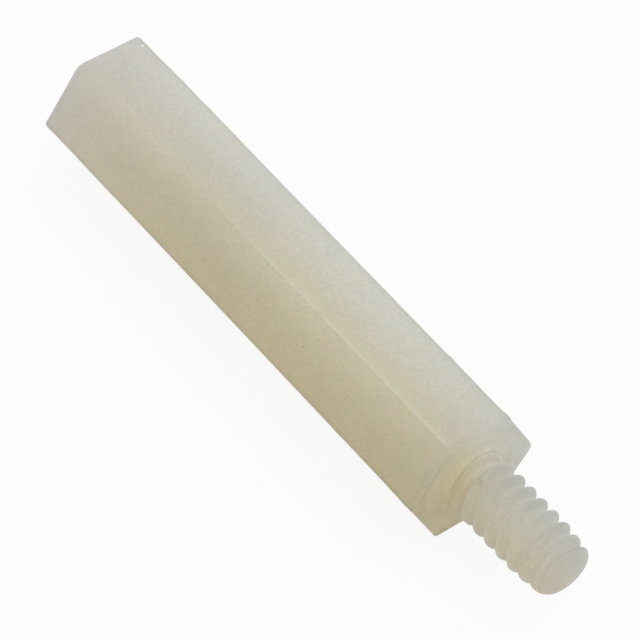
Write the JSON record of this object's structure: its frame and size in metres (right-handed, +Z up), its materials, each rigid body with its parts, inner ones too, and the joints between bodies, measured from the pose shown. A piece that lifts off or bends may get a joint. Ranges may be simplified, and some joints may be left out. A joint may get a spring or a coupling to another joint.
{
  "type": "hex standoff",
  "caption": "Hexagonal spacer moulded in nylon, with a threaded stud on one end and a tapped blind hole in the other.",
  "frame": {"origin": "on the resting flat of the hexagon, halfway along the whole part and under its axis", "axes": "+X along the axis towards the stud, +Z up out of the flat that it rests on, +Y across the hexagon's corners"},
  "size_m": [0.0274, 0.0054, 0.0048],
  "materials": {
    "natural_nylon": "as moulded, translucent ivory, soft satin"
  },
  "bodies": {
    "root": {"standoff": "natural_nylon"}
  },
  "joints": []
}
